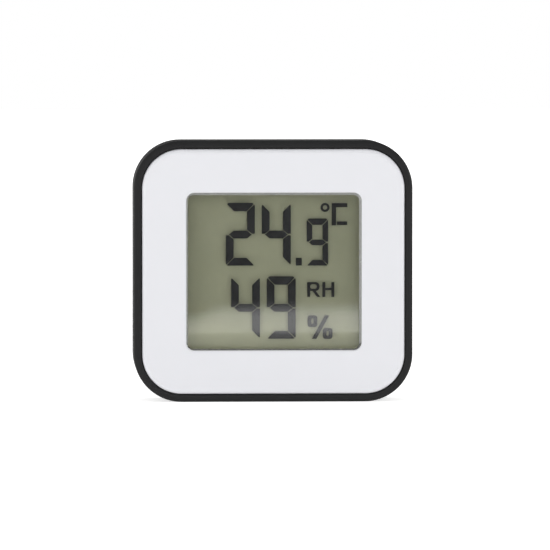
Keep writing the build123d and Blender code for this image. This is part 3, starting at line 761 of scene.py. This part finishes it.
# Pad-printed unit marks in the button's dish: thin white ink, half matt.
white_ink = moulded_plastic("white_pad_ink", "DADAD8", "CFCFCD", 0.15, 0.002, 0.6, 0.05)
button_low, button_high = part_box("unit_button")
button_x = (button_low.x + button_high.x) / 2 / MM
button_z = (button_low.z + button_high.z) / 2 / MM
dish_y, mark_out, mark_height, print_thickness = 7.5, 2.88, 0.85, 0.02
for name, body, side in (("mark_celsius", "\u00b0C", 1), ("mark_fahrenheit", "\u00b0F", -1)):
    mark = print_text(
        name, body, (button_x, button_z + side * mark_out), mark_height,
        dish_y, dish_y + print_thickness, white_ink,
    )
    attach(mark, "housing")

# Dust filters stuck inside both side walls behind the air slots. Open-cell foam: dark, with pores
# of half a millimetre that swallow the light.
filter_foam = moulded_plastic("open_cell_foam", "2A2A2B", "3A3A3B", 0.5, 0.25, 0.95, 0.03)
side_wall = 1.55
inner_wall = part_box("rear_housing")[1].x / MM - side_wall
filter_y, filter_z, filter_thickness, filter_edge = (-0.7, 6.1), (10.4, 22.6), 0.8, 0.25
for name, side in (("dust_filter_left", -1), ("dust_filter_right", 1)):
    deselect()
    bpy.ops.mesh.primitive_cube_add(size=1, location=(
        side * (inner_wall - filter_thickness / 2) * MM,
        sum(filter_y) / 2 * MM, sum(filter_z) / 2 * MM,
    ))
    pad = bpy.context.object
    pad.name = name
    pad.scale = (
        filter_thickness * MM, (filter_y[1] - filter_y[0]) * MM, (filter_z[1] - filter_z[0]) * MM,
    )
    bpy.ops.object.transform_apply(location=True, rotation=True, scale=True)
    rounded = pad.modifiers.new("edges", "BEVEL")
    rounded.width = filter_edge * MM
    rounded.segments = 3
    apply_all(pad)
    pad.data.materials.append(filter_foam)
    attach(pad, "housing")

# The cell's stamping: a plus sign and its voltage, darker where the polish is broken.
stamped = bare_metal("cell_stamping", "8E8E8C", "7F7F7D", 0.15, 0, 0.5, 0.08, 0.002)
cell_low, cell_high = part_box("button_cell")
cell_back = cell_high.y / MM
cell_z = (cell_low.z + cell_high.z) / 2 / MM
stamp_top = cell_back + print_thickness
plus_z, arm, half_bar = cell_z + 5.2, 1.7, 0.24
plus = prism("cell_plus", [
    (x, plus_z + z) for x, z in (
        (-half_bar, -arm), (half_bar, -arm), (half_bar, -half_bar), (arm, -half_bar),
        (arm, half_bar), (half_bar, half_bar), (half_bar, arm), (-half_bar, arm),
        (-half_bar, half_bar), (-arm, half_bar), (-arm, -half_bar), (-half_bar, -half_bar),
    )
], cell_back, stamp_top)
plus.data.materials.append(stamped)
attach(plus, "housing")
voltage = print_text("cell_voltage", "3 V", (0, cell_z - 0.5), 3.4, cell_back, stamp_top, stamped)
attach(voltage, "housing")

# Board screws: pan heads with a cross recess, and threads that taper at the tip. Each is turned
# from one outline of radii and depths, from the tip to the head.
screw_low, screw_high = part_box("board_screws")
head_radius, head_height, core, crest, pitch = 1.4, 0.8, 0.56, 0.75, 0.42
recess_reach, recess_half, recess_depth = 0.8, 0.16, 0.45
head_top, tip_y = screw_high.y / MM, screw_low.y / MM
seat_y = head_top - head_height
screw_z = (screw_low.z + screw_high.z) / 2 / MM
turned = [(0, tip_y), (0.3, tip_y), (core, tip_y + 0.5)]
along = tip_y + 0.6
while along + pitch < seat_y:
    turned += [(core, along), (crest, along + pitch / 2 - 0.04), (crest, along + pitch / 2 + 0.04)]
    along += pitch
turned += [
    (core, along), (core, seat_y), (head_radius, seat_y), (head_radius, seat_y + 0.3),
    (head_radius - 0.12, head_top - 0.22), (head_radius - 0.42, head_top - 0.05), (0.7, head_top),
    (0, head_top),
]
screws = []
for side in (-1, 1):
    screw_x = side * (screw_high.x / MM - head_radius)
    screw = place_mesh(
        "screw", [(radius * MM, depth * MM, 0) for radius, depth in turned],
        [(i, i + 1) for i in range(len(turned) - 1)], [],
    )
    lathe = screw.modifiers.new("turn", "SCREW")
    lathe.axis = "Y"
    lathe.steps = 24
    lathe.render_steps = 24
    lathe.use_merge_vertices = True
    lathe.merge_threshold = weld * MM
    apply_all(screw)
    bpy.ops.object.mode_set(mode="EDIT")
    bpy.ops.mesh.select_all(action="SELECT")
    bpy.ops.mesh.remove_doubles(threshold=weld * MM)
    face_outwards()
    bpy.ops.object.mode_set(mode="OBJECT")
    screw.location = (screw_x * MM, 0, screw_z * MM)
    bpy.ops.object.transform_apply(location=True, rotation=True, scale=True)
    for across, up in ((recess_reach, recess_half), (recess_half, recess_reach)):
        combine(screw, "DIFFERENCE", prism("slot", [
            (screw_x - across, screw_z - up), (screw_x + across, screw_z - up),
            (screw_x + across, screw_z + up), (screw_x - across, screw_z + up),
        ], head_top - recess_depth, head_top + 0.1))
    bpy.ops.object.shade_smooth_by_angle(angle=radians(30))
    screws.append(screw)
for screw in screws:
    screw.select_set(True)
bpy.ops.object.join()
threaded = bpy.context.object
threaded.name = "board_screws_threaded"
threaded.data.materials.clear()
threaded.data.materials.append(finishes["board_screws"])
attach(threaded, "housing")
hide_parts("board_screws")


# ---------------------------------------------------------------- floor, world and lamps

def light_paths(tree):
    """Sockets for glossy rays, and for rays that see a thing directly or through clear sheets."""
    ray = add(tree, "ShaderNodeLightPath").outputs
    seen = work_out(tree, "MAXIMUM", ray["Is Camera Ray"], ray["Is Transmission Ray"])
    return ray["Is Glossy Ray"], seen


# A sweep of pale paper, faintly fibrous: matt and nearly white.
deselect()
bpy.ops.mesh.primitive_plane_add(size=6, location=(0, 0, 0))
floor = bpy.context.object
floor.name = "floor"
material, tree, shader, place = new_material("pale_paper")
tree.nodes.remove(shader)
glossy, seen = light_paths(tree)
fibres = noise(tree, place, 2, 3)
paper = mix_colours(tree, fibres, "F2F2F1", "EEEEED")
# In front of the object, mirrors see a duller table, as if it ended near it.
depth = add(tree, "ShaderNodeSeparateXYZ", {"Vector": place}).outputs["Y"]
dull_share = work_out(tree, "MULTIPLY", glossy, ramp(tree, depth, 0, 0.1, 1, 0))
dulled = mix_colours(tree, dull_share, paper, "9A9A99")
matt = add(tree, "ShaderNodeBsdfDiffuse", {"Color": dulled})
# Seen directly, the paper fades to white from 0.1 to 0.5 m away from the object.
reach = add(tree, "ShaderNodeVectorMath", {0: place}, operation="LENGTH").outputs["Value"]
fade = ramp(tree, reach, 0.1, 0.5, 0.65, 1.0)
# It is lit a little from below, which brightens the undersides of the edges.
table_glow = 0.35
glow = add(tree, "ShaderNodeEmission", {"Strength": mix_values(tree, seen, table_glow, fade)})
show(tree, add(tree, "ShaderNodeAddShader", {0: matt.outputs[0], 1: glow.outputs[0]}))
floor.data.materials.append(material)

world = bpy.data.worlds.new("studio")
world.use_nodes = True
bpy.context.scene.world = world
tree = world.node_tree
glossy, seen = light_paths(tree)
heading = add(tree, "ShaderNodeTexCoord").outputs["Generated"]
axes = add(tree, "ShaderNodeSeparateXYZ", {"Vector": heading}).outputs
# What the object mirrors. The room in front of it is darker than the paper sweep behind it and
# darker still overhead, and on its left there is less to mirror than on its right.
ahead = ramp(tree, axes["Y"], -0.6, 0.4, 0.3, 0.85)
overhead = ramp(tree, axes["Z"], 0.0, 0.5, 1.0, 0.35)
leftward = ramp(tree, axes["X"], -0.8, 0.2, 0.3, 1.0)
around = work_out(tree, "MULTIPLY", work_out(tree, "MULTIPLY", ahead, overhead), leftward)
# What lights the object: a tent whose sides are brighter than its front, where the lamps are.
sides = ramp(tree, axes["Y"], -0.6, -0.15, 0.3, 1.9)
rear = ramp(tree, axes["Y"], 0.1, 0.5, 1.9, 0.9)
roof = ramp(tree, axes["Z"], 0.2, 0.7, 1.0, 0.5)
tent = work_out(tree, "MULTIPLY", work_out(tree, "MINIMUM", sides, rear), roof)
# What is seen past the object is white.
fill(tree, tree.nodes["Background"], {
    "Color": (1, 1, 1, 1),
    "Strength": mix_values(tree, seen, mix_values(tree, glossy, tent, around), 1.0),
})


# What the window mirrors: a card on the floor in front of the object, dark above and bright in a
# low strip. Only mirrored rays see it.
deselect()
bpy.ops.mesh.primitive_plane_add(size=1, location=(0, -0.16, 0.125), rotation=(pi / 2, 0, 0))
card = bpy.context.object
card.name = "mirrored_card"
card.scale = (0.3, 0.25, 1)
bpy.ops.object.transform_apply(location=True, rotation=True, scale=True)
material, tree, shader, place = new_material("dark_board_with_strip")
tree.nodes.remove(shader)
spot = add(tree, "ShaderNodeSeparateXYZ", {"Vector": place}).outputs
# The strip grows brighter to the right, and its upper edge bends down at its left end.
bright = ramp(tree, spot["X"], -12 * MM, 25 * MM, 2.1, 2.75)
bend = ramp(
    tree, spot["X"], -12 * MM, -4 * MM, 2.2 * MM, 0, interpolation_type="SMOOTHERSTEP",
)
above = ramp(
    tree, work_out(tree, "ADD", spot["Z"], bend), 8.5 * MM, 12.3 * MM, bright, 0.28,
    interpolation_type="SMOOTHSTEP",
)
# Its lower part is dimmer, and dims to nothing in two steps.
below = ramp(tree, spot["Z"], 4.6 * MM, 5.5 * MM, 1.05, 2.75, interpolation_type="SMOOTHSTEP")
foot = ramp(tree, spot["Z"], 1.7 * MM, 2.65 * MM, 0.3, 1.05, interpolation_type="SMOOTHSTEP")
toe = ramp(tree, spot["Z"], 3.3 * MM, 4.35 * MM, 0.0, 2.0)
lower = work_out(tree, "MINIMUM", work_out(tree, "ADD", foot, toe), below)
strip = work_out(tree, "MINIMUM", above, lower)
show(tree, add(tree, "ShaderNodeEmission", {"Strength": strip}))
card.data.materials.append(material)
card.visible_camera = False
card.visible_diffuse = False
card.visible_transmission = False
card.visible_shadow = False


def soft_box(name, place, size, power):
    """A square soft box that points at the middle of the object."""
    lamp = bpy.data.lights.new(name, "AREA")
    lamp.shape = "SQUARE"
    lamp.size = size
    lamp.energy = power
    holder = bpy.data.objects.new(name, lamp)
    bpy.context.scene.collection.objects.link(holder)
    holder.location = place
    aim = Vector((0, 0, 0.026)) - holder.location
    holder.rotation_euler = aim.to_track_quat("-Z", "Y").to_euler()


# The key lamp stands nearly in front, so that the window's edges throw no wide shadow inward.
soft_box("key", (0.03, -0.62, 0.12), 0.5, 1.37)
soft_box("front_left", (-0.5, -0.6, 0.25), 0.5, 0.45)
soft_box("behind_left", (-0.6, 0.8, 0.1), 0.5, 1.0)
soft_box("behind_right", (0.7, 0.5, 0.1), 0.5, 1.0)


# ---------------------------------------------------------------- camera

middle = Vector((0, 0, 25.75 * MM))
camera_turn = radians(2.5)
camera_rise = radians(2.6)
camera_distance = 1.2
back = Vector((
    -sin(camera_turn) * cos(camera_rise), -cos(camera_turn) * cos(camera_rise), sin(camera_rise),
))
camera = bpy.data.objects.new("camera", bpy.data.cameras.new("camera"))
bpy.context.scene.collection.objects.link(camera)
camera.data.lens = 397.3
camera.data.sensor_width = 36
camera.location = middle + back * camera_distance
camera.rotation_euler = (-back).to_track_quat("-Z", "Y").to_euler()
camera.data.clip_start = 0.05
camera.data.clip_end = 20
# The object sits a little left of and above the picture's middle.
camera.data.shift_x = 0.0057
camera.data.shift_y = -0.0099
bpy.context.scene.camera = camera
bpy.context.scene.view_settings.view_transform = "Standard"
# The window, the film and the two glasses are sixteen clear skins there and back.
bpy.context.scene.cycles.transparent_max_bounces = 32
